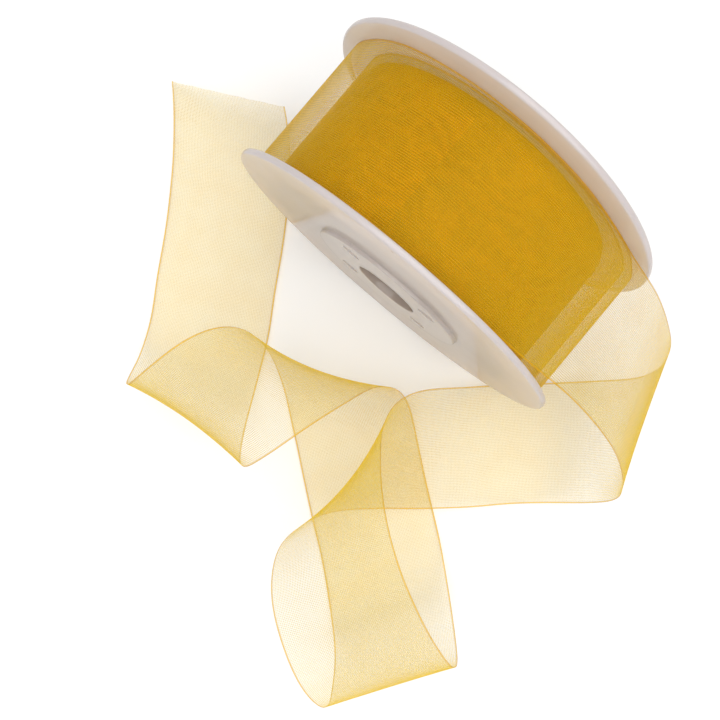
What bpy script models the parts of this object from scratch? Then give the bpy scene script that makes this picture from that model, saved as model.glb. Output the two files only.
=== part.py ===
"""A spool of sheer gift ribbon, standing on its two flanges, with the ribbon's end pulled off in loose loops.

Frame: metres, +Z up, Z = 0 on the surface that the spool stands on. +X runs along the spool's axis to the
front flange. The origin is on that surface, at the middle of the footprint of the spool and its loose ribbon.
"""

import math

import bmesh
import bpy
from mathutils import Vector

# Spool
FLANGE_RADIUS = 0.050
FLANGE_THICKNESS = 0.0017
RIM_ROUND = 0.0006
HUB_RADIUS = 0.0226  # of the round plate in the middle of a flange
HUB_RAISE = 0.0011  # how far it stands out of the flange's outer face
WEB_THICKNESS = 0.0015  # the plate's wall
SPIGOT_STEP = 0.0008  # the spigot's outside is this much larger than the plate
SPIGOT_WALL = 0.0020
SPIGOT_LENGTH = 0.0070
BORE_RADIUS = 0.0090
COLLAR_WALL = 0.0012
COLLAR_LENGTH = 0.0080  # inwards, from the flange's inner face
WEB_HOLE_COUNT = 4
WEB_HOLE_RADIUS = 0.0026
WEB_HOLE_MARGIN = 0.0018  # from a hole to the inside of the spigot
CORE_WALL = 0.0016

# Ribbon
RIBBON_WIDTH = 0.038
SIDE_PLAY = 0.0004  # between the ribbon's edge and a flange
PACK_RADIUS = 0.0405
CLOTH = 0.0004  # thickness of a single layer's solid
LAYER_STEP = 0.0011  # how much further out the loose turn ends than it starts
SLACK = 0.0079  # the most that the loose turn may stand off the pack

# Tape that holds the ribbon's inner end to the core
TAPE_THICKNESS = 0.0003
TAPE_WIDTH = 0.024
TAPE_LENGTH = 0.020

GAP = 0.0003  # between pieces that touch
SIDES = 72  # flats round a turned piece

# Worked out from the sizes above
INNER_HALF = RIBBON_WIDTH / 2 + SIDE_PLAY
SPIGOT_OUTER = HUB_RADIUS + SPIGOT_STEP
SPIGOT_INNER = SPIGOT_OUTER - SPIGOT_WALL
COLLAR_OUTER = BORE_RADIUS + COLLAR_WALL
WEB_HOLE_CIRCLE = SPIGOT_INNER - WEB_HOLE_MARGIN - WEB_HOLE_RADIUS
CORE_INNER = SPIGOT_OUTER + GAP
CORE_OUTER = CORE_INNER + CORE_WALL
CORE_HALF = INNER_HALF - GAP
TAPE_RADIUS = CORE_OUTER + GAP
PACK_INNER = TAPE_RADIUS + TAPE_THICKNESS + GAP
HALF_STEP = math.pi / SIDES
AXIS_HEIGHT = FLANGE_RADIUS * math.cos(HALF_STEP)  # the rims stand on one of their flats
FIRST_LAYER = PACK_RADIUS + GAP + CLOTH / 2

# The loose turn round the pack. The angle is from straight up towards +Y, in degrees. The share says how much
# of its slack, or of the space up to the flanges' rims if that is less, the ribbon has moved out by.
TURN_SHAPE = (
    (-8, 0.0),
    (25, 0.05),
    (43, 0.20),
    (60, 0.42),
    (90, 0.66),
    (135, 0.60),
    (180, 0.52),
    (225, 0.54),
    (270, 0.58),
    (310, 0.40),
    (340, 0.14),
    (360, 0.03),
    (368, 0.03),
)
TURN_STEP_DEG = 6

# Where the ribbon lifts off from the end of that turn: for the front edge and then the rear edge, the angle as
# above and how much further out it is in mm, and then how far the ribbon has moved towards the front in mm.
LIFT_OFF = (
    (368, 0.0, 368, 0.0, 0.0),
    (387, 2.3, 386, 0.4, 0.0),
    (403, 7.8, 405, 1.5, 0.0),
    (417, 14.2, 422, 4.0, -0.6),
    (429, 20.6, 436, 11.2, -0.7),
    (439, 27.6, 447, 18.6, -0.1),
    (449, 35.1, 457, 27.2, 1.1),
)

# The free ribbon after that, front edge and rear edge, in mm from the point under the middle of the spool, for
# a spool of ROUTE_FLANGE and ROUTE_WIDTH. The two edges are brought to the ribbon's width about their middle.
ROUTE_FLANGE = 0.050
ROUTE_WIDTH = 0.038
FREE_RIBBON = (
    ((21, 84, 40), (-14, 74, 29)),
    ((23, 89, 27), (-10, 74, 16)),
    ((27, 89, 13), (-3, 67, 6)),
    ((34, 83, 4), (6, 57, 2)),
    ((43, 73, 2), (15, 47, 2)),
    ((52, 63, 4), (25, 37, 5)),
    ((62, 52, 5), (33, 28, 11)),
    ((70, 42, 6), (41, 23, 22)),
    ((79, 31, 11), (49, 23, 33)),
    ((87, 25, 20), (57, 28, 44)),
    ((95, 23, 31), (66, 36, 51)),
    ((104, 29, 41), (74, 47, 55)),
    ((112, 40, 44), (80, 59, 53)),
    ((118, 52, 41), (85, 70, 46)),
    ((121, 62, 31), (88, 80, 38)),
    ((118, 62, 17), (88, 84, 24)),
    ((113, 58, 5), (83, 81, 12)),
    ((104, 49, 1), (75, 72, 4)),
    ((95, 38, 1), (66, 62, 1)),
    ((87, 27, 1), (57, 50, 1)),
    ((79, 16, 1), (48, 39, 2)),
    ((70, 5, 1), (41, 29, 6)),
    ((62, -5, 3), (39, 21, 18)),
    ((56, -15, 11), (43, 15, 31)),
    ((54, -22, 23), (52, 11, 41)),
    ((57, -28, 35), (64, 7, 47)),
    ((66, -33, 43), (77, 4, 44)),
    ((79, -36, 41), (84, 1, 33)),
    ((87, -39, 30), (83, -3, 19)),
    ((89, -43, 16), (76, -8, 8)),
    ((83, -47, 4), (65, -14, 3)),
    ((72, -53, 1), (52, -20, 1)),
    ((60, -60, 1), (40, -28, 1)),
    ((48, -67, 1), (28, -35, 1)),
    ((37, -74, 1), (16, -43, 1)),
    ((26, -82, 1), (4, -51, 2)),
    ((15, -91, 1), (-6, -59, 4)),
    ((9, -96, 2), (-11, -65, 6)),
)
STEPS_PER_STATION = 2
ACROSS = 2  # faces across the ribbon's width

# The lengths that the free ribbon is made in, with the station where each starts. LIFT_OFF and FREE_RIBBON are
# its stations, counted from 0.
LENGTHS = (
    ("tail_fall", 0),
    ("tail_first_loop", 11),
    ("tail_under_run", 23),
    ("tail_last_loop", 33),
)


def clear_scene():
    for obj in list(bpy.data.objects):
        bpy.data.objects.remove(obj)


def new_collection(name):
    collection = bpy.data.collections.new(name)
    bpy.context.scene.collection.children.link(collection)
    return collection


def new_empty(name, collection, parent=None):
    empty = bpy.data.objects.new(name, None)
    collection.objects.link(empty)
    empty.parent = parent
    return empty


def plastic(name, colour, roughness, alpha=1.0):
    """A Principled BSDF with one colour."""
    material = bpy.data.materials.new(name)
    material.use_nodes = True
    shader = material.node_tree.nodes["Principled BSDF"]
    shader.inputs["Base Color"].default_value = (*colour, 1)
    shader.inputs["Roughness"].default_value = roughness
    shader.inputs["Metallic"].default_value = 0
    shader.inputs["Alpha"].default_value = alpha
    return material


def smooth_shaded(mesh, angle_deg=30):
    mesh.shade_smooth()
    mesh.set_sharp_from_angle(angle=math.radians(angle_deg))


def turned(name, profile, collection, parent, material):
    """A ring: a closed outline of (radius, height) points, turned about the object's own Z axis."""
    mesh = bpy.data.meshes.new(name)
    count = len(profile)
    turn = math.cos(HALF_STEP), math.sin(HALF_STEP)
    points = [(radius * turn[0], radius * turn[1], height) for radius, height in profile]
    mesh.from_pydata(points, [(i, (i + 1) % count) for i in range(count)], [])
    obj = bpy.data.objects.new(name, mesh)
    collection.objects.link(obj)
    obj.parent = parent
    mesh.materials.append(material)
    screw = obj.modifiers.new("turn", "SCREW")
    screw.axis = "Z"
    screw.steps = SIDES
    screw.render_steps = SIDES
    screw.use_smooth_shade = True
    return obj


def rounded_rim():
    """The flange's edge, from its outer face round to its inner face."""
    points = []
    for middle, start in ((FLANGE_THICKNESS - RIM_ROUND, 90), (RIM_ROUND, 0)):
        for step in range(3):
            angle = math.radians(start - 45 * step)
            points.append((
                FLANGE_RADIUS - RIM_ROUND + RIM_ROUND * math.cos(angle),
                middle + RIM_ROUND * math.sin(angle),
            ))
    return points


def flange_profile():
    """Height 0 is the inner face, the outer face is at FLANGE_THICKNESS, and the plate stands out of it."""
    web_outer = FLANGE_THICKNESS + HUB_RAISE
    web_inner = web_outer - WEB_THICKNESS
    return rounded_rim() + [
        (SPIGOT_OUTER, 0),
        (SPIGOT_OUTER, -SPIGOT_LENGTH),
        (SPIGOT_INNER, -SPIGOT_LENGTH),
        (SPIGOT_INNER, web_inner),
        (COLLAR_OUTER, web_inner),
        (COLLAR_OUTER, -COLLAR_LENGTH),
        (BORE_RADIUS, -COLLAR_LENGTH),
        (BORE_RADIUS, web_outer),
        (HUB_RADIUS, web_outer),
        (HUB_RADIUS, FLANGE_THICKNESS),
    ]


def hole_cutter(name, angle, collection, parent):
    bm = bmesh.new()
    depth = 4 * (FLANGE_THICKNESS + HUB_RAISE)
    bmesh.ops.create_cone(
        bm, cap_ends=True, segments=20, radius1=WEB_HOLE_RADIUS, radius2=WEB_HOLE_RADIUS, depth=depth
    )
    mesh = bpy.data.meshes.new(name)
    bm.to_mesh(mesh)
    bm.free()
    cutter = bpy.data.objects.new(name, mesh)
    collection.objects.link(cutter)
    cutter.parent = parent
    cutter.location = (WEB_HOLE_CIRCLE * math.cos(angle), WEB_HOLE_CIRCLE * math.sin(angle), 0)
    cutter.hide_render = True
    cutter.display_type = "WIRE"
    return cutter


def add_flange(name, side, parts, cutters, axis, material):
    """A flange with its four holes. side is +1 at the front and -1 at the rear."""
    seat = new_empty(name + "_seat", parts, axis)
    seat.location = (side * INNER_HALF, 0, 0)
    seat.rotation_euler = (0, side * math.pi / 2, 0)
    flange = turned(name, flange_profile(), parts, seat, material)
    for i in range(WEB_HOLE_COUNT):
        angle = math.tau * (i + 0.5) / WEB_HOLE_COUNT
        cut = flange.modifiers.new(f"hole_{i + 1}", "BOOLEAN")
        cut.operation = "DIFFERENCE"
        cut.solver = "EXACT"
        cut.object = hole_cutter(f"{name}_hole_{i + 1}", angle, cutters, seat)


def add_ring(name, inner, outer, half_length, parts, axis, material):
    """A plain tube along the spool's axis."""
    profile = [(outer, half_length), (outer, -half_length), (inner, -half_length), (inner, half_length)]
    ring = turned(name, profile, parts, axis, material)
    ring.rotation_euler = (0, math.pi / 2, 0)


def strip(name, rows, thickness, parts, parent, material):
    """A closed strip of cloth or tape through rows of points, each row running across its width."""
    bm = bmesh.new()
    lines = [[bm.verts.new(point) for point in row] for row in rows]
    for before, after in zip(lines, lines[1:]):
        for i in range(len(before) - 1):
            bm.faces.new((before[i], before[i + 1], after[i + 1], after[i]))
    mesh = bpy.data.meshes.new(name)
    bm.to_mesh(mesh)
    bm.free()
    smooth_shaded(mesh, 60)
    mesh.materials.append(material)
    obj = bpy.data.objects.new(name, mesh)
    parts.objects.link(obj)
    obj.parent = parent
    solid = obj.modifiers.new("thickness", "SOLIDIFY")
    solid.thickness = thickness
    solid.offset = 0
    return obj


def across(front, rear):
    """Points from the front edge to the rear edge, the ribbon's width apart about their middle."""
    middle = (front + rear) / 2
    half = (front - rear).normalized() * RIBBON_WIDTH / 2
    return [middle + half * (1 - 2 * i / ACROSS) for i in range(ACROSS + 1)]


def round_axis(angle_deg, radius, x):
    """A point at this angle from straight up towards +Y, measured from the spool's axis."""
    angle = math.radians(angle_deg)
    return Vector((x, radius * math.sin(angle), radius * math.cos(angle)))


def on_curve(values, position):
    """A smooth curve through values at 0, 1, 2 and so on (Catmull-Rom)."""
    last = len(values) - 1
    start = min(int(position), last - 1)
    t = position - start
    a, b, c, d = (values[min(max(start + k, 0), last)] for k in (-1, 0, 1, 2))
    return b + (c - a) * (t / 2) + (a * 2 - b * 5 + c * 4 - d) * (t * t / 2) + (b * 3 - a - c * 3 + d) * (t**3 / 2)


def turn_radius(angle_deg):
    """The middle of the loose turn's layer, from the axis."""
    first, last = TURN_SHAPE[0][0], TURN_SHAPE[-1][0]
    step = LAYER_STEP * (angle_deg - first) / (last - first)
    room = min(AXIS_HEIGHT - FIRST_LAYER - LAYER_STEP, SLACK)
    for (a0, s0), (a1, s1) in zip(TURN_SHAPE, TURN_SHAPE[1:]):
        if angle_deg <= a1:
            t = (angle_deg - a0) / (a1 - a0)
            share = s0 + (s1 - s0) * t * t * (3 - 2 * t)
            break
    return FIRST_LAYER + step + share * room


def add_loose_turn(parts, axis, material):
    """One turn round the pack, from where it leaves the wound ribbon to where it lifts off."""
    first, last = TURN_SHAPE[0][0], LIFT_OFF[0][0] - math.degrees(GAP / FIRST_LAYER)
    count = round((last - first) / TURN_STEP_DEG)
    rows = []
    for i in range(count + 1):
        angle = first + (last - first) * i / count
        radius = turn_radius(angle)
        rows.append(across(
            round_axis(angle, radius, RIBBON_WIDTH / 2),
            round_axis(angle, radius, -RIBBON_WIDTH / 2),
        ))
    strip("loose_turn", rows, CLOTH, parts, axis, material)


def free_ribbon_edges():
    """The free ribbon's stations, as (front edge, rear edge) from the point under the spool's middle."""
    lift = Vector((0, 0, AXIS_HEIGHT))
    half = RIBBON_WIDTH / 2
    turn_end = turn_radius(TURN_SHAPE[-1][0])
    stations = []
    for front_angle, front, rear_angle, rear, forward in LIFT_OFF:
        x = forward / 1000
        stations.append((
            lift + round_axis(front_angle, turn_end + front / 1000, x + half),
            lift + round_axis(rear_angle, turn_end + rear / 1000, x - half),
        ))
    size = max(FLANGE_RADIUS / ROUTE_FLANGE, RIBBON_WIDTH / ROUTE_WIDTH) / 1000
    for front, rear in FREE_RIBBON:
        stations.append((Vector(front) * size, Vector(rear) * size))
    return stations


def add_free_ribbon(parts, root, material):
    """The ribbon from where it lifts off the spool to its cut end, standing still when the spool turns."""
    fronts, rears = zip(*free_ribbon_edges())
    ends = [start for _, start in LENGTHS[1:]] + [len(fronts) - 1]
    for (name, start), end in zip(LENGTHS, ends):
        if end < len(fronts) - 1:
            spacing = ((fronts[end] + rears[end]) / 2 - (fronts[end - 1] + rears[end - 1]) / 2).length
            end -= GAP / spacing
        count = math.ceil((end - start) * STEPS_PER_STATION)
        rows = []
        for i in range(count + 1):
            position = start + (end - start) * i / count
            rows.append(across(on_curve(fronts, position), on_curve(rears, position)))
        strip(name, rows, CLOTH, parts, root, material)


def add_tape(parts, axis, material):
    """A short curved piece of tape on top of the core."""
    radius = TAPE_RADIUS + TAPE_THICKNESS / 2
    reach = math.degrees(TAPE_LENGTH / radius / 2)
    rows = []
    for i in range(7):
        angle = -reach + 2 * reach * i / 6
        rows.append([round_axis(angle, radius, x) for x in (TAPE_WIDTH / 2, -TAPE_WIDTH / 2)])
    strip("starter_tape", rows, TAPE_THICKNESS, parts, axis, material)


def centre_footprint(parts, root):
    """Moves everything so that the middle of its footprint is at the origin."""
    bpy.context.view_layer.update()
    graph = bpy.context.evaluated_depsgraph_get()
    corners = []
    for obj in parts.objects:
        if obj.type == "MESH":
            corners += [obj.matrix_world @ Vector(c) for c in obj.evaluated_get(graph).bound_box]
    for k in (0, 1):
        root.location[k] = -(min(c[k] for c in corners) + max(c[k] for c in corners)) / 2


def main():
    clear_scene()
    parts = new_collection("ribbon_spool")
    cutters = new_collection("cutters")
    milky = plastic("milky_plastic", (0.80, 0.77, 0.74), 0.28, 0.85)
    board = plastic("core_white", (0.78, 0.76, 0.72), 0.55)
    clear = plastic("clear_tape", (0.85, 0.83, 0.76), 0.25, 0.5)
    wound = plastic("wound_organza", (0.70, 0.35, 0.01), 0.6)
    sheer = plastic("sheer_organza", (0.80, 0.52, 0.12), 0.6, 0.5)

    root = new_empty("under_the_spool", parts)
    axis = new_empty("spool_axis", parts, root)
    axis.location = (0, 0, AXIS_HEIGHT)

    add_flange("front_flange", 1, parts, cutters, axis, milky)
    add_flange("rear_flange", -1, parts, cutters, axis, milky)
    add_ring("core_tube", CORE_INNER, CORE_OUTER, CORE_HALF, parts, axis, board)
    add_tape(parts, axis, clear)
    add_ring("wound_ribbon", PACK_INNER, PACK_RADIUS, RIBBON_WIDTH / 2, parts, axis, wound)
    add_loose_turn(parts, axis, sheer)
    add_free_ribbon(parts, root, sheer)
    centre_footprint(parts, root)


main()
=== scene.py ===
"""A spool of sheer gold ribbon on its two milky flanges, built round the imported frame.

Metres, +Z up. +X is the spool's axis, out of the front flange, and Z = 0 is the table.
"""

import math

import bmesh
import bpy
import numpy as np
from mathutils import Matrix, Vector


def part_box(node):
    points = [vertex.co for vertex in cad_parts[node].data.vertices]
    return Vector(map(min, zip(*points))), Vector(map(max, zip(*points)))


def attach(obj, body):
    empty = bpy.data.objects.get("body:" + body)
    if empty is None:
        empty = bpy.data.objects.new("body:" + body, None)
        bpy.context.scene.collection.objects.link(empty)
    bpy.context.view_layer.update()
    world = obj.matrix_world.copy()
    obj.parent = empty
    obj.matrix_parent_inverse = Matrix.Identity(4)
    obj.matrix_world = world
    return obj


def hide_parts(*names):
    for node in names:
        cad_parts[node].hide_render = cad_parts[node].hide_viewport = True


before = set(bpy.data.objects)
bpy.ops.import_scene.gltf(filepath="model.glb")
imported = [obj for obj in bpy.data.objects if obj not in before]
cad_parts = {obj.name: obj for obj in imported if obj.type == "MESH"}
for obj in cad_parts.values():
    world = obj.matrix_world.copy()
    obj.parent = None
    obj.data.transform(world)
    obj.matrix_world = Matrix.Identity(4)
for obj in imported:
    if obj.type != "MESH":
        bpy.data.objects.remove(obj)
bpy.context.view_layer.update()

# ---------------------------------------------------------------- sizes, the same as in the CAD part

LOW, HIGH = (np.array(corner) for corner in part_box("core_tube"))
AXIS = (LOW + HIGH) / 2  # the middle of the spool
UNDER = np.array([AXIS[0], AXIS[1], 0.0])
AXIS_HEIGHT = AXIS[2]

RIM = AXIS_HEIGHT  # the round flange just meets the table
FLANGE_THICKNESS = 0.0017
RIM_ROUND = 0.0006
HUB_RADIUS = 0.0226
HUB_RAISE = 0.0011  # the round plate in the middle stands out of the outer face
WEB_THICKNESS = 0.0015
SPIGOT_OUTER = 0.0234
SPIGOT_INNER = 0.0214
SPIGOT_LENGTH = 0.0070  # the ring that plugs into the core
BORE_RADIUS = 0.0090
COLLAR_OUTER = 0.0102
COLLAR_LENGTH = 0.0080
WEB_HOLES = 4  # small round holes in the plate
WEB_HOLE_RADIUS = 0.0026
WEB_HOLE_CIRCLE = 0.0170  # radius of the circle that they lie on
CORE_INNER = 0.0237
CORE_OUTER = 0.0253
CORE_HALF = 0.0191
FLANGE_SIDES = 192
CORE_SIDES = 128
SHARP = 35  # degrees, the least turn of a sharp corner on the flanges

RIBBON_WIDTH = 0.038
INNER_HALF = 0.0194  # from the spool's middle to a flange's inner face
PACK_INNER = 0.0262
PACK_RADIUS = 0.0405
FIRST_LAYER = 0.0410  # radius at which the loose turn starts
LAYER_STEP = 0.0011  # how much further out it ends
PACK_REAR = -0.0175  # the wound turns stop a little short of the rear flange
PACK_LAYERS = 34
PACK_SIDES = 180
PACK_ROUND = 0.00016  # the uneven outside is about this much smaller than PACK_RADIUS
LAYER_DIP = 0.00012  # between the edges of two layers
REAR_SAG, REAR_SAG_WIDTH = 0.0011, 0.0040  # the outermost layers slope off towards their rear edge
FRONT_SAG, FRONT_SAG_WIDTH = 0.0003, 0.0015
SAG_FROM = 0.9  # share of the pack's depth from which the rear side follows that slope

# Towards +Y the wound turns are smaller, as the ribbon has slackened there. The angles are in degrees from
# straight up, over which this comes and goes.
PACK_EASE = 0.0022
PACK_EASE_COMES = (30, 95)
PACK_EASE_GOES = (150, 240)

# The free sheet's first turn lies on the wound turns, under the loose one. It stands off a little towards +Y.
INNER_TURN_START = -380
INNER_TURN_GAP = 0.00025
INNER_TURN_LIFT = 0.0042
INNER_TURN_COMES = (25, 105)
INNER_TURN_GOES = (150, 250)
INNER_TURN_SUNK = 0.0006  # it starts this deep in the wound turns
INNER_TURN_OUT = 20  # degrees over which it comes out of them
COMES_UP = (1.0, 16.0)  # mm along the sheet over which it comes into sight

TURN_STEP = 6  # degrees between the places where the turns are measured
ROW_STEP = 0.0010
COLUMNS = 17
CURVE_STEPS = 16
SOFTENING = 3  # rows over which the edges are smoothed
LOWEST = 0.0004  # the sheet's height where it lies on the table
CUT_SLANT = 0.0050  # the rear edge is this much shorter at the cut end
CUT_STRETCH = 0.03  # length at the cut end whose rows are spread anew
WOVEN_EDGE = (0.75, 0.30)  # mm in from the ribbon's edge where its closer woven edge begins and is full

# The loose turn round the pack: angle from straight up towards +Y, and the share of the space between the
# pack and the rims that the ribbon has moved out by.
TURN_SHAPE = (
    (-8, 0.0),
    (25, 0.05),
    (43, 0.20),
    (60, 0.50),
    (90, 0.76),
    (135, 0.68),
    (180, 0.54),
    (225, 0.54),
    (270, 0.58),
    (310, 0.40),
    (340, 0.14),
    (360, 0.03),
    (368, 0.03),
)

# Where the ribbon lifts off: for the front edge and then the rear edge, the angle and how much further out it
# is in mm, and then how far the ribbon has moved towards the front in mm.
LIFT_OFF = (
    (368, 0.0, 368, 0.0, 0.0),
    (387, 2.3, 386, 0.4, 0.0),
    (403, 7.8, 405, 1.5, 0.0),
    (417, 14.2, 422, 4.0, -0.6),
    (429, 20.6, 436, 11.2, -0.7),
    (439, 27.6, 447, 18.6, -0.1),
    (449, 35.1, 457, 27.2, 1.1),
)

# The free ribbon's front and rear edges, in mm from the point under the middle of the spool.
FREE_RIBBON = (
    ((21, 84, 40), (-14, 74, 29)),
    ((23, 89, 27), (-10, 74, 16)),
    ((27, 89, 13), (-3, 67, 6)),
    ((34, 83, 4), (6, 57, 2)),
    ((43, 73, 2), (15, 47, 2)),
    ((52, 63, 4), (25, 37, 5)),
    ((62, 52, 5), (33, 28, 11)),
    ((70, 42, 6), (41, 23, 22)),
    ((79, 31, 11), (49, 23, 33)),
    ((87, 25, 20), (57, 28, 44)),
    ((95, 23, 31), (66, 36, 51)),
    ((104, 29, 41), (74, 47, 55)),
    ((112, 40, 44), (80, 59, 53)),
    ((118, 52, 41), (85, 70, 46)),
    ((121, 62, 31), (88, 80, 38)),
    ((118, 62, 17), (88, 84, 24)),
    ((113, 58, 5), (83, 81, 12)),
    ((104, 49, 1), (75, 72, 4)),
    ((95, 38, 1), (66, 62, 1)),
    ((87, 27, 1), (57, 50, 1)),
    ((79, 16, 1), (48, 39, 2)),
    ((70, 5, 1), (41, 29, 6)),
    ((62, -5, 3), (39, 21, 18)),
    ((56, -15, 11), (43, 15, 31)),
    ((54, -22, 23), (52, 11, 41)),
    ((57, -28, 35), (64, 7, 47)),
    ((66, -33, 43), (77, 4, 44)),
    ((79, -36, 41), (84, 1, 33)),
    ((87, -39, 30), (83, -3, 19)),
    ((89, -43, 16), (76, -8, 8)),
    ((83, -47, 4), (65, -14, 3)),
    ((72, -53, 1), (52, -20, 1)),
    ((60, -60, 1), (40, -28, 1)),
    ((48, -67, 1), (28, -35, 1)),
    ((37, -74, 1), (16, -43, 1)),
    ((26, -82, 1), (5, -51, 4)),
    ((15, -91, 1), (-4, -60, 9)),
    ((9, -96, 2), (-8, -66, 13)),
)

# ---------------------------------------------------------------- view and light

CAMERA_PLACE = Vector(UNDER) + Vector((0.0477, 0.0069, 0.2669))
CAMERA_RIGHT = Vector((-0.6429, 0.7657, 0.0202))
CAMERA_BACK = Vector((0.0328, 0.0012, 0.9995))
CAMERA_LENS = 41.72
CAMERA_SENSOR = 36.0

SOFTBOX_PLACE = Vector((0.05, 0.12, 1.0))
SOFTBOX_AIM = Vector((0, 0, 0))
SOFTBOX_SIZE = 1.3
SOFTBOX_POWER = 12.0
SURROUND = 0.48  # strength of the even light from all round
TABLE_HALF = 3

# ---------------------------------------------------------------- nodes


class Nodes:
    """Short calls for building a material's nodes. Values that are sockets are linked, others are set."""

    def __init__(self, tree):
        self.tree = tree

    def add(self, kind, settings=None, **inputs):
        """A new node. Inputs go by name, with _ for a space, or by place as i0, i1 and so on."""
        node = self.tree.nodes.new(kind)
        for key, value in (settings or {}).items():
            setattr(node, key, value)
        for key, value in inputs.items():
            by_place = key[0] == "i" and key[1:].isdigit()
            self.put(node.inputs[int(key[1:]) if by_place else key.replace("_", " ")], value)
        return node

    def put(self, socket, value):
        if isinstance(value, bpy.types.NodeSocket):
            self.tree.links.new(value, socket)
        else:
            socket.default_value = value

    def maths(self, operation, a, b=0.0, clamp=False):
        settings = {"operation": operation, "use_clamp": clamp}
        return self.add("ShaderNodeMath", settings, i0=a, i1=b).outputs[0]

    def vector(self, operation, a, b):
        return self.add("ShaderNodeVectorMath", {"operation": operation}, i0=a, i1=b).outputs[0]

    def part(self, vector, axis):
        return self.add("ShaderNodeSeparateXYZ", i0=vector).outputs[axis]

    def mix(self, share, a, b):
        node = self.add("ShaderNodeMix", {"data_type": "RGBA", "blend_type": "MIX"}, i0=share, i6=a, i7=b)
        return node.outputs[2]

    def ramp(self, value, stops):
        node = self.add("ShaderNodeValToRGB", i0=value)
        ramp = node.color_ramp
        while len(ramp.elements) < len(stops):
            ramp.elements.new(0.5)
        for element, (place, colour) in zip(ramp.elements, stops):
            element.position = place
            element.color = (*colour, 1)
        return node.outputs[0]

    def span(self, value, low, high, to_low=0.0, to_high=1.0):
        """A smooth step from to_low to to_high, as value goes from low to high."""
        settings = {"clamp": True, "interpolation_type": "SMOOTHSTEP"}
        node = self.add("ShaderNodeMapRange", settings, i0=value, i1=low, i2=high, i3=to_low, i4=to_high)
        return node.outputs[0]

    def noise(self, vector, scale, detail, roughness=0.5):
        node = self.add("ShaderNodeTexNoise", Vector=vector, Scale=scale, Detail=detail, Roughness=roughness)
        return node.outputs[0]

    def bump(self, height, strength, distance):
        return self.add("ShaderNodeBump", Strength=strength, Distance=distance, Height=height).outputs[0]

    def place(self):
        return self.add("ShaderNodeTexCoord").outputs["Object"]

    def principled(self, **inputs):
        return self.add("ShaderNodeBsdfPrincipled", **inputs).outputs[0]

    def blend(self, share, a, b):
        return self.add("ShaderNodeMixShader", i0=share, i1=a, i2=b).outputs[0]

    def finish(self, shader):
        self.add("ShaderNodeOutputMaterial", Surface=shader)


def node_material(name):
    material = bpy.data.materials.new(name)
    material.use_nodes = True
    material.node_tree.nodes.clear()
    return material, Nodes(material.node_tree)


# ---------------------------------------------------------------- materials


def weave(n, threads):
    """The organza's threads, from the cloth's own map in mm. Gives the map, and the threads' height, 0 to 1.

    threads has a row for each set of threads: the map's axis, the pitch in mm, how many mm it wanders and its
    share of the height. Sets of nearly the same pitch beat with each other, as layers of organza do.
    """
    cloth = n.add("ShaderNodeUVMap", {"uv_map": "cloth"}).outputs[0]
    height = None
    for i, (axis, pitch, wander, share) in enumerate(threads):
        apart = 31.0 * i  # so that no two sets wander alike
        drift = n.noise(n.vector("ADD", cloth, (apart, apart, 0.0)), 0.10, 2.0)
        moved = n.maths("ADD", n.part(cloth, axis), n.maths("MULTIPLY", drift, wander))
        wave = n.maths("SINE", n.maths("MULTIPLY", moved, math.tau / pitch))
        line = n.maths("ADD", n.maths("MULTIPLY", wave, share / 2), share / 2)
        height = line if height is None else n.maths("ADD", height, line)
    return cloth, height


def edge_share(n, cloth):
    """1 on the woven edge of the ribbon and 0 away from it."""
    half = RIBBON_WIDTH * 500  # in mm
    across = n.maths("ABSOLUTE", n.part(cloth, 0))
    return n.span(across, half - WOVEN_EDGE[0], half - WOVEN_EDGE[1])


def sheer_gold():
    """A single layer of organza. It hides more of what is behind it the more slanted it is seen."""
    material, n = node_material("sheer_gold_organza")
    cloth, height = weave(n, ((0, 0.50, 1.0, 0.5), (1, 0.44, 1.0, 0.5)))
    edge = edge_share(n, cloth)
    cloud = n.noise(cloth, 0.12, 3.0)
    streak = n.noise(n.vector("MULTIPLY", cloth, (1.6, 0.05, 1.0)), 1.0, 2.0)
    gold = n.ramp(cloud, [(0.25, (0.94, 0.655, 0.026)), (0.75, (0.96, 0.71, 0.042))])
    gold = n.mix(n.maths("MULTIPLY", streak, 0.25), gold, (0.91, 0.56, 0.012, 1))
    gold = n.mix(n.maths("MULTIPLY", edge, 0.8), gold, (0.72, 0.40, 0.015, 1))

    # The share of light that gets by one thickness, between threads and at them, then by the slanted path.
    facing = n.add("ShaderNodeLayerWeight", Blend=0.5).outputs["Facing"]
    cosine = n.maths("MAXIMUM", n.maths("SUBTRACT", 1.0, facing), 0.12)
    open_share = n.span(height, 0.1, 0.9, 0.88, 0.66)
    open_share = n.maths("ADD", open_share, n.span(cloud, 0.3, 0.7, -0.014, 0.014))
    passed = n.maths("POWER", open_share, n.maths("DIVIDE", 1.0, cosine))
    cover = n.maths("SUBTRACT", 1.0, passed, clamp=True)
    cover = n.maths("MAXIMUM", cover, n.maths("MULTIPLY", edge, 0.72))
    # The first stretch comes up out of the wound turns.
    cover = n.maths("MULTIPLY", cover, n.span(n.part(cloth, 1), COMES_UP[0], COMES_UP[1]))

    bump = n.bump(height, 0.4, 0.00012)
    shader = n.principled(
        Base_Color=gold,
        Roughness=0.45,
        Normal=bump,
        Sheen_Weight=0.15,
        Sheen_Roughness=0.4,
        Sheen_Tint=(1.0, 0.72, 0.22, 1),
        Specular_IOR_Level=0.12,
        Specular_Tint=(1.0, 0.75, 0.25, 1),
    )
    through = n.add("ShaderNodeBsdfTranslucent", Color=gold, Normal=bump).outputs[0]
    clear = n.add("ShaderNodeBsdfTransparent", Color=(0.93, 0.952, 0.985, 1)).outputs[0]
    n.finish(n.blend(cover, clear, n.blend(0.5, shader, through)))
    return material


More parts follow.
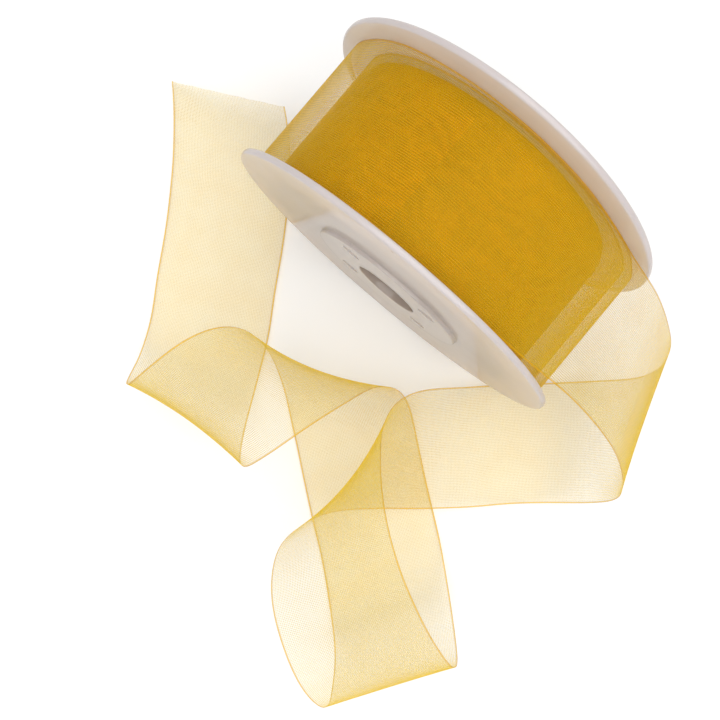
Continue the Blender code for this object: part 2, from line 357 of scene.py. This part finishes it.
def wound_gold():
    """Many layers of the same organza on each other."""
    material, n = node_material("wound_gold_organza")
    cloth, height = weave(n, ((0, 0.60, 1.2, 0.55), (0, 0.54, 1.8, 0.20), (1, 0.56, 1.4, 0.25)))
    cloud = n.noise(n.vector("MULTIPLY", cloth, (1.0, 0.6, 1.0)), 0.12, 4.0, 0.55)
    fine = n.noise(cloth, 1.6, 2.0)
    gold = n.ramp(cloud, [
        (0.30, (0.75, 0.305, 0.0)),
        (0.55, (0.84, 0.365, 0.0005)),
        (0.8, (0.92, 0.425, 0.001)),
    ])
    # Painted shade: the hollows between the threads are darkened towards a dark brown, standing in for the
    # shade that falls between them.
    thread_gap_painted_shade = n.span(height, 0.15, 0.80, 0.95, 0.0)
    gold = n.mix(thread_gap_painted_shade, gold, (0.30, 0.10, 0.0, 1))
    gold = n.mix(n.span(fine, 0.35, 0.75, 0.0, 0.25), gold, (0.86, 0.46, 0.004, 1))
    n.finish(n.principled(
        Base_Color=gold,
        Roughness=0.5,
        Normal=n.bump(height, 1.0, 0.0003),
        Sheen_Weight=0.1,
        Sheen_Roughness=0.35,
        Sheen_Tint=(1.0, 0.55, 0.02, 1),
        Specular_IOR_Level=0.05,
        Specular_Tint=(1.0, 0.6, 0.1, 1),
    ))
    return material


def milky_plastic():
    """Glossy, milky moulding that light comes through, with faint flow marks and a few specks."""
    material, n = node_material("milky_moulding")
    place = n.place()
    flow = n.noise(place, 60.0, 3.0)
    speck = n.add("ShaderNodeTexVoronoi", Vector=place, Scale=190.0).outputs["Distance"]
    rare = n.noise(place, 95.0, 0.0)
    mark = n.maths("MULTIPLY", n.span(speck, 0.05, 0.10, 1.0, 0.0), n.span(rare, 0.68, 0.72))
    colour = n.ramp(flow, [(0.3, (0.78, 0.71, 0.66)), (0.7, (0.85, 0.78, 0.735))])
    # The rim is a little greyer.
    from_axis = n.vector("MULTIPLY", n.vector("SUBTRACT", place, tuple(AXIS)), (0.0, 1.0, 1.0))
    radius = n.add("ShaderNodeVectorMath", {"operation": "LENGTH"}, i0=from_axis).outputs["Value"]
    rim = n.span(radius, RIM - 0.0008, RIM - 0.0002)
    colour = n.mix(n.maths("MULTIPLY", rim, 0.8), colour, (0.62, 0.59, 0.62, 1))
    # Painted shade: the step round the raised plate and the inside of the bore are darkened, standing in for
    # the shadow under the plate's edge and down the bore.
    step = n.span(radius, HUB_RADIUS - 0.0004, HUB_RADIUS - 0.0001)
    step = n.maths("MULTIPLY", step, n.span(radius, HUB_RADIUS + 0.0001, HUB_RADIUS + 0.0004, 1.0, 0.0))
    colour = n.mix(n.maths("MULTIPLY", step, 0.35), colour, (0.34, 0.29, 0.28, 1))
    # Painted shade down the inside of the bore.
    bore_painted_shade = n.span(radius, BORE_RADIUS + 0.0001, BORE_RADIUS + 0.0003, 1.0, 0.0)
    colour = n.mix(n.maths("MULTIPLY", bore_painted_shade, 0.8), colour, (0.32, 0.25, 0.20, 1))
    colour = n.mix(n.maths("MULTIPLY", mark, 0.7), colour, (0.30, 0.22, 0.17, 1))
    bump = n.bump(n.noise(place, 900.0, 2.0), 0.05, 0.0001)
    shader = n.principled(
        Base_Color=colour,
        Roughness=n.span(flow, 0.2, 0.8, 0.07, 0.12),
        Normal=bump,
        IOR=1.50,
        Specular_IOR_Level=0.7,
        Subsurface_Weight=0.4,
        Subsurface_Radius=(0.004, 0.0035, 0.003),
        Subsurface_Scale=1.0,
    )
    through = n.add("ShaderNodeBsdfTranslucent", Color=(0.92, 0.86, 0.82, 1), Normal=bump).outputs[0]
    n.finish(n.blend(0.35, shader, through))
    return material


def core_plastic():
    material, n = node_material("core_moulding")
    flow = n.noise(n.place(), 120.0, 3.0)
    colour = n.ramp(flow, [(0.3, (0.50, 0.43, 0.38)), (0.7, (0.60, 0.53, 0.48))])
    n.finish(n.principled(Base_Color=colour, Roughness=0.5, Normal=n.bump(flow, 0.15, 0.0001)))
    return material


def paper_tape():
    material, n = node_material("paper_tape")
    fibre = n.noise(n.vector("MULTIPLY", n.place(), (1.0, 6.0, 6.0)), 300.0, 3.0)
    colour = n.ramp(fibre, [(0.3, (0.80, 0.77, 0.68)), (0.7, (0.88, 0.86, 0.79))])
    n.finish(n.principled(Base_Color=colour, Roughness=0.8, Normal=n.bump(fibre, 0.2, 0.0001)))
    return material


def table_white():
    material, n = node_material("table_white")
    cloud = n.noise(n.place(), 3.0, 2.0)
    colour = n.ramp(cloud, [(0.3, (0.915, 0.915, 0.912)), (0.7, (0.935, 0.935, 0.932))])
    n.finish(n.principled(Base_Color=colour, Roughness=0.7, Specular_IOR_Level=0.2))
    return material


# ---------------------------------------------------------------- shared shapes


def rise(value, low, high):
    """0 up to low, 1 from high on, and a smooth step between."""
    share = min(max((value - low) / (high - low), 0.0), 1.0)
    return share * share * (3 - 2 * share)


def link(name, data):
    """A new object in the scene."""
    obj = bpy.data.objects.new(name, data)
    bpy.context.scene.collection.objects.link(obj)
    return obj


def new_mesh(name, points, faces):
    mesh = bpy.data.meshes.new(name)
    mesh.from_pydata(points, [], faces)
    return mesh


def new_object(name, mesh, material, body):
    obj = link(name, mesh)
    mesh.materials.append(material)
    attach(obj, body)
    return obj


def lathe(profile, sides, side=1, middle=0.0, wobble=None):
    """(points, faces) of a closed outline of (radius, height) turned about the spool's axis.

    height runs along side * X from middle. wobble(i, angle) gives an offset of (radius, height) for point i.
    """
    points, faces, count = [], [], len(profile)
    for step in range(sides):
        angle = math.tau * step / sides
        for i, (radius, height) in enumerate(profile):
            more = wobble(i, angle) if wobble else (0.0, 0.0)
            radius += more[0]
            height += more[1]
            points.append((
                AXIS[0] + side * (middle + height),
                AXIS[1] + radius * math.sin(angle),
                AXIS[2] + radius * math.cos(angle),
            ))
    for step in range(sides):
        a, b = step * count, (step + 1) % sides * count
        for i in range(count):
            j = (i + 1) % count
            faces.append((a + i, b + i, b + j, a + j))
    return points, faces


def outward(mesh, sharp_deg):
    """Turns the faces outward and shades the mesh smooth but for its sharp corners."""
    bm = bmesh.new()
    bm.from_mesh(mesh)
    bmesh.ops.recalc_face_normals(bm, faces=bm.faces)
    bm.to_mesh(mesh)
    bm.free()
    mesh.shade_smooth()
    mesh.set_sharp_from_angle(angle=math.radians(sharp_deg))


def add_map(mesh, place):
    """The cloth's own map, in mm: across from the ribbon's middle, and along."""
    layer = mesh.uv_layers.new(name="cloth")
    for loop in mesh.loops:
        layer.data[loop.index].uv = place[loop.vertex_index]


# ---------------------------------------------------------------- the spool


def arc(middle, radius, start_deg, end_deg, steps):
    """Points on a small arc, for rounding a corner of an outline."""
    points = []
    for i in range(steps + 1):
        angle = math.radians(start_deg + (end_deg - start_deg) * i / steps)
        points.append((middle[0] + radius * math.cos(angle), middle[1] + radius * math.sin(angle)))
    return points


def flange_outline():
    """The outline from the outer face, round the rim, down the hub and back over the raised plate.

    Height 0 is the inner face.
    """
    plate = FLANGE_THICKNESS + HUB_RAISE
    plate_in = plate - WEB_THICKNESS
    top = FLANGE_THICKNESS
    soft = 0.0003
    rim = arc((RIM - RIM_ROUND, top - RIM_ROUND), RIM_ROUND, 90, 0, 5)
    rim += arc((RIM - RIM_ROUND, RIM_ROUND), RIM_ROUND, 0, -90, 5)
    rings = (0.030, 0.038, 0.046)
    face = [(radius, top) for radius in rings]
    back = [(radius, 0) for radius in reversed(rings)]
    hub = [
        (SPIGOT_OUTER, 0),
        (SPIGOT_OUTER, -SPIGOT_LENGTH),
        (SPIGOT_INNER, -SPIGOT_LENGTH),
        (SPIGOT_INNER, plate_in),
        (COLLAR_OUTER, plate_in),
        (COLLAR_OUTER, -COLLAR_LENGTH),
        (BORE_RADIUS, -COLLAR_LENGTH),
    ]
    lip = arc((BORE_RADIUS + soft, plate - soft), soft, 180, 90, 3)
    middle = [(0.0120, plate), (HUB_RADIUS - 0.0012, plate)]
    step = arc((HUB_RADIUS - soft, plate - soft), soft, 90, 0, 3)
    step += [(HUB_RADIUS, top + 0.0002), (HUB_RADIUS + 0.0002, top)]
    return face + rim + back + hub + lip + middle + step


def hole_cutter(side, angle):
    """A rod across the plate, where one of its small holes is."""
    bm = bmesh.new()
    bmesh.ops.create_cone(
        bm, cap_ends=True, segments=40, radius1=WEB_HOLE_RADIUS, radius2=WEB_HOLE_RADIUS, depth=0.008
    )
    mesh = bpy.data.meshes.new("cut")
    bm.to_mesh(mesh)
    bm.free()
    cutter = link("cut", mesh)
    place = Vector(AXIS) + Vector((
        side * (INNER_HALF + 0.0005),
        WEB_HOLE_CIRCLE * math.sin(angle),
        WEB_HOLE_CIRCLE * math.cos(angle),
    ))
    cutter.matrix_world = Matrix.Translation(place) @ Matrix.Rotation(math.pi / 2, 4, "Y")
    return cutter


def flange(name, node, side, material):
    points, faces = lathe(flange_outline(), FLANGE_SIDES, side, INNER_HALF)
    mesh = new_mesh(name, points, faces)
    outward(mesh, SHARP)
    obj = link(name, mesh)
    mesh.materials.append(material)
    cutters = [hole_cutter(side, math.tau * (i + 0.5) / WEB_HOLES) for i in range(WEB_HOLES)]
    for cutter in cutters:
        cut = obj.modifiers.new("hole", "BOOLEAN")
        cut.operation = "DIFFERENCE"
        cut.solver = "EXACT"
        cut.object = cutter
    bpy.context.view_layer.update()
    graph = bpy.context.evaluated_depsgraph_get()
    done = bpy.data.meshes.new_from_object(obj.evaluated_get(graph))
    obj.modifiers.clear()
    obj.data = done
    done.name = name
    done.set_sharp_from_angle(angle=math.radians(SHARP))
    for cutter in cutters:
        bpy.data.objects.remove(cutter)
    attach(obj, "spool")
    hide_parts(node)


def core(material):
    outer_edge, inner_edge = 0.0003, 0.0002  # how far the edges are broken
    outline = [
        (CORE_OUTER, CORE_HALF - outer_edge),
        (CORE_OUTER - outer_edge, CORE_HALF),
        (CORE_INNER + inner_edge, CORE_HALF),
        (CORE_INNER, CORE_HALF - inner_edge),
    ]
    outline += [(radius, -height) for radius, height in reversed(outline)]
    points, faces = lathe(outline, CORE_SIDES)
    mesh = new_mesh("core_sleeve", points, faces)
    outward(mesh, 30)
    obj = new_object("core_sleeve", mesh, material, "spool")
    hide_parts("core_tube")


def pack_outline(uneven):
    """The wound turns' outline, and for each of its points the side and the layer that it is on.

    Side 0 is the front and 1 the rear. A point on the round outside has None.
    """
    half = RIBBON_WIDTH / 2
    depth = PACK_RADIUS - PACK_INNER
    outline, where = [], []
    for x in np.linspace(half, PACK_REAR, 31)[1:-1]:
        drop = REAR_SAG * max(0.0, (PACK_REAR + REAR_SAG_WIDTH - x) / REAR_SAG_WIDTH) ** 2
        drop += FRONT_SAG * max(0.0, (x - half + FRONT_SAG_WIDTH) / FRONT_SAG_WIDTH) ** 2
        outline.append((PACK_RADIUS - drop, x))
        where.append(None)
    for k, sign, order in ((1, -1, -1), (0, 1, 1)):
        for layer in range(PACK_LAYERS)[::order]:
            for end in (0, 0.5, 1)[::order]:
                share = (layer + end) / PACK_LAYERS
                radius = PACK_INNER + depth * share
                reach = half + (-PACK_REAR - half) * share**4 if k else half
                if k and share > SAG_FROM:
                    radius -= REAR_SAG * (share - SAG_FROM) / (1 - SAG_FROM)
                dip = 0.0 if end == 0.5 else -LAYER_DIP
                outline.append((radius, sign * (reach + uneven[k][layer] + dip)))
                where.append((k, layer))
    return outline, where


def wound_pack(material):
    """The wound turns: a round outside, and sides where the edges of the layers lie a little unevenly."""
    generator = np.random.default_rng(7)
    uneven = generator.uniform(-0.00022, 0.0, (2, PACK_LAYERS))
    phase = generator.uniform(0, math.tau, (2, PACK_LAYERS))
    outline, where = pack_outline(uneven)

    def wobble(i, angle):
        degrees = math.degrees(angle)
        ease = rise(degrees, *PACK_EASE_COMES) * (1 - rise(degrees, *PACK_EASE_GOES))
        inward = -PACK_EASE * ease * (outline[i][0] - PACK_INNER) / (PACK_RADIUS - PACK_INNER) - PACK_ROUND
        if where[i] is None:
            return inward + 0.00012 * math.sin(2 * angle + 0.6) + 0.00007 * math.sin(5 * angle), 0.0
        k, layer = where[i]
        return inward, (1 if k == 0 else -1) * 0.00008 * math.sin(3 * angle + phase[k][layer])

    points, faces = lathe(outline, PACK_SIDES, wobble=wobble)
    mesh = new_mesh("wound_layers", points, faces)
    length = math.tau * PACK_RADIUS * 1000
    place = []
    for step in range(PACK_SIDES):
        for _, height in outline:
            place.append((height * 1000, length * step / PACK_SIDES))
    add_map(mesh, place)
    layer = mesh.uv_layers["cloth"]
    for face in mesh.polygons:  # the last faces close the turn
        along = [layer.data[i].uv[1] for i in face.loop_indices]
        if max(along) - min(along) > length / 2:
            for i in face.loop_indices:
                if layer.data[i].uv[1] < length / 2:
                    layer.data[i].uv = (layer.data[i].uv[0], layer.data[i].uv[1] + length)
    outward(mesh, 60)
    obj = new_object("wound_layers", mesh, material, "spool")
    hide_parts("wound_ribbon")


# ---------------------------------------------------------------- the loose ribbon


def round_axis(angle_deg, radius, x):
    """A point round the spool's axis. The angle is from straight up towards +Y, and x from its middle."""
    angle = math.radians(angle_deg)
    return np.array([x, radius * math.sin(angle), radius * math.cos(angle) + AXIS_HEIGHT])


def turn_radius(angle_deg):
    """How far the ribbon is from the axis, first on the turn under the loose one and then on the loose one."""
    first, last = TURN_SHAPE[0][0], TURN_SHAPE[-1][0]
    if angle_deg < first:
        angle = angle_deg + 360
        start = INNER_TURN_START + 360
        lift = INNER_TURN_LIFT * rise(angle, *INNER_TURN_COMES) * (1 - rise(angle, *INNER_TURN_GOES))
        sunk = INNER_TURN_SUNK * (1 - rise(angle, start, start + INNER_TURN_OUT))
        return PACK_RADIUS + INNER_TURN_GAP + lift - sunk
    step = LAYER_STEP * (angle_deg - first) / (last - first)
    room = AXIS_HEIGHT - FIRST_LAYER - LAYER_STEP
    share = 0.0
    for (a0, s0), (a1, s1) in zip(TURN_SHAPE, TURN_SHAPE[1:]):
        if a0 <= angle_deg <= a1:
            share = s0 + (s1 - s0) * rise(angle_deg, a0, a1)
    return FIRST_LAYER + step + share * room


def on_curve(values, position):
    """A smooth curve through values at 0, 1, 2 and so on (Catmull-Rom)."""
    last = len(values) - 1
    start = min(int(position), last - 1)
    t = position - start
    a, b, c, d = (values[min(max(start + k, 0), last)] for k in (-1, 0, 1, 2))
    square = a * 2 - b * 5 + c * 4 - d
    cube = b * 3 - a - c * 3 + d
    return b + (c - a) * (t / 2) + square * (t * t / 2) + cube * (t**3 / 2)


def ribbon_edges():
    """Both edges of the loose ribbon from the spool to its cut end, close together, from UNDER."""
    half = RIBBON_WIDTH / 2
    stations = []
    last = TURN_SHAPE[-1][0]
    for angle in range(INNER_TURN_START, last, TURN_STEP):
        radius = turn_radius(angle)
        stations.append((round_axis(angle, radius, half), round_axis(angle, radius, -half)))
    turn_end = turn_radius(last)
    for front_angle, front, rear_angle, rear, forward in LIFT_OFF:
        x = forward / 1000
        stations.append((
            round_axis(front_angle, turn_end + front / 1000, x + half),
            round_axis(rear_angle, turn_end + rear / 1000, x - half),
        ))
    for front, rear in FREE_RIBBON:
        stations.append((np.array(front) / 1000, np.array(rear) / 1000))
    fine = np.arange(0, len(stations) - 1 + 1e-9, 1 / CURVE_STEPS)
    return [np.array([on_curve(edge, p) for p in fine]) for edge in zip(*stations)]


def even_steps(front, rear, step):
    """The same strip with rows an even step apart along its middle."""
    middle = (front + rear) / 2
    along = np.concatenate([[0], np.cumsum(np.linalg.norm(np.diff(middle, axis=0), axis=1))])
    count = int(round(along[-1] / step))
    wanted = np.linspace(0, along[-1], count + 1)
    pick = lambda values: np.stack([np.interp(wanted, along, values[:, k]) for k in range(3)], 1)
    return pick(front), pick(rear), wanted


def softened(points, reach):
    """A moving average, weighted to its middle, that leaves both ends where they are."""
    weights = np.exp(-0.5 * (np.arange(-3 * reach, 3 * reach + 1) / reach) ** 2)
    weights /= weights.sum()
    before = 2 * points[0] - points[1 : 3 * reach + 1][::-1]
    after = 2 * points[-1] - points[-3 * reach - 1 : -1][::-1]
    padded = np.concatenate([before, points, after])
    return np.stack([np.convolve(padded[:, k], weights, "valid") for k in range(3)], 1)


def ribbon_rows():
    """Rows of points across the loose ribbon, how far along each row is and how far across each column."""
    front, rear = ribbon_edges()
    front, rear, along = even_steps(front, rear, ROW_STEP)
    front, rear = softened(front, SOFTENING), softened(rear, SOFTENING)
    middle = (front + rear) / 2
    reach = front - rear
    reach /= np.linalg.norm(reach, axis=1, keepdims=True)
    columns = np.linspace(-0.5, 0.5, COLUMNS) * RIBBON_WIDTH
    rows = middle[:, None] + reach[:, None] * columns[None, :, None]
    rows += UNDER
    return rows, along, columns


def cut_slanted(rows, along, columns):
    """Ends each column of rows where the slanted cut crosses it."""
    end = along[-1]
    cuts = [end - CUT_SLANT * (0.5 - across / RIBBON_WIDTH) for across in columns]
    for j, cut in enumerate(cuts):
        keep = np.minimum(along, cut)
        for k in range(3):
            rows[:, j, k] = np.interp(keep, along, rows[:, j, k])
    # Rows past the cut fall together, so they are spread over the last stretch.
    tail = along > end - CUT_STRETCH
    place = along[tail]
    for j, cut in enumerate(cuts):
        spread = place[0] + (place - place[0]) * (cut - place[0]) / (end - place[0])
        near = along <= cut + ROW_STEP
        for k in range(3):
            rows[tail, j, k] = np.interp(spread, along[near], rows[near, j, k])


def loose_ribbon(material):
    rows, along, columns = ribbon_rows()
    count, wide = rows.shape[:2]
    rows[..., 2] = np.maximum(rows[..., 2], LOWEST)
    cut_slanted(rows, along, columns)
    faces = []
    for i in range(count - 1):
        for j in range(wide - 1):
            a = i * wide + j
            faces.append((a, a + wide, a + wide + 1, a + 1))
    mesh = new_mesh("ribbon_sheet", rows.reshape(-1, 3).tolist(), faces)
    add_map(mesh, [(across * 1000, length * 1000) for length in along for across in columns])
    mesh.shade_smooth()
    obj = new_object("ribbon_sheet", mesh, material, "loose_ribbon")
    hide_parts("loose_turn", "tail_fall", "tail_first_loop", "tail_under_run", "tail_last_loop")


# ---------------------------------------------------------------- the scene


def camera():
    data = bpy.data.cameras.new("camera")
    obj = link("camera", data)
    back = CAMERA_BACK.normalized()
    up = back.cross(CAMERA_RIGHT.normalized()).normalized()
    right = up.cross(back).normalized()
    turn = Matrix((right, up, back)).transposed().to_4x4()
    obj.matrix_world = Matrix.Translation(CAMERA_PLACE) @ turn
    data.lens = CAMERA_LENS
    data.sensor_width = CAMERA_SENSOR
    data.clip_start = 0.01
    bpy.context.scene.camera = obj


def softbox():
    data = bpy.data.lights.new("softbox", "AREA")
    data.shape = "SQUARE"
    data.size = SOFTBOX_SIZE
    data.energy = SOFTBOX_POWER
    obj = link("softbox", data)
    obj.location = SOFTBOX_PLACE
    obj.rotation_euler = (SOFTBOX_AIM - SOFTBOX_PLACE).to_track_quat("-Z", "Y").to_euler()


def surround():
    """Even white light from all round."""
    world = bpy.data.worlds.new("studio")
    bpy.context.scene.world = world
    world.use_nodes = True
    background = world.node_tree.nodes["Background"]
    background.inputs["Color"].default_value = (1.0, 1.0, 1.0, 1)
    background.inputs["Strength"].default_value = SURROUND
    bpy.context.scene.view_settings.view_transform = "Standard"


def table_top():
    corners = [(x * TABLE_HALF, y * TABLE_HALF, 0) for x, y in ((-1, -1), (1, -1), (1, 1), (-1, 1))]
    mesh = new_mesh("table", corners, [(0, 1, 2, 3)])
    mesh.materials.append(table_white())
    table = link("table", mesh)


camera()
softbox()
surround()
table_top()
milky = milky_plastic()
flange("front_flange_moulding", "front_flange", 1, milky)
flange("rear_flange_moulding", "rear_flange", -1, milky)
core(core_plastic())
wound_pack(wound_gold())
loose_ribbon(sheer_gold())

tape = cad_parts["starter_tape"]
tape.data.materials.clear()
tape.data.materials.append(paper_tape())
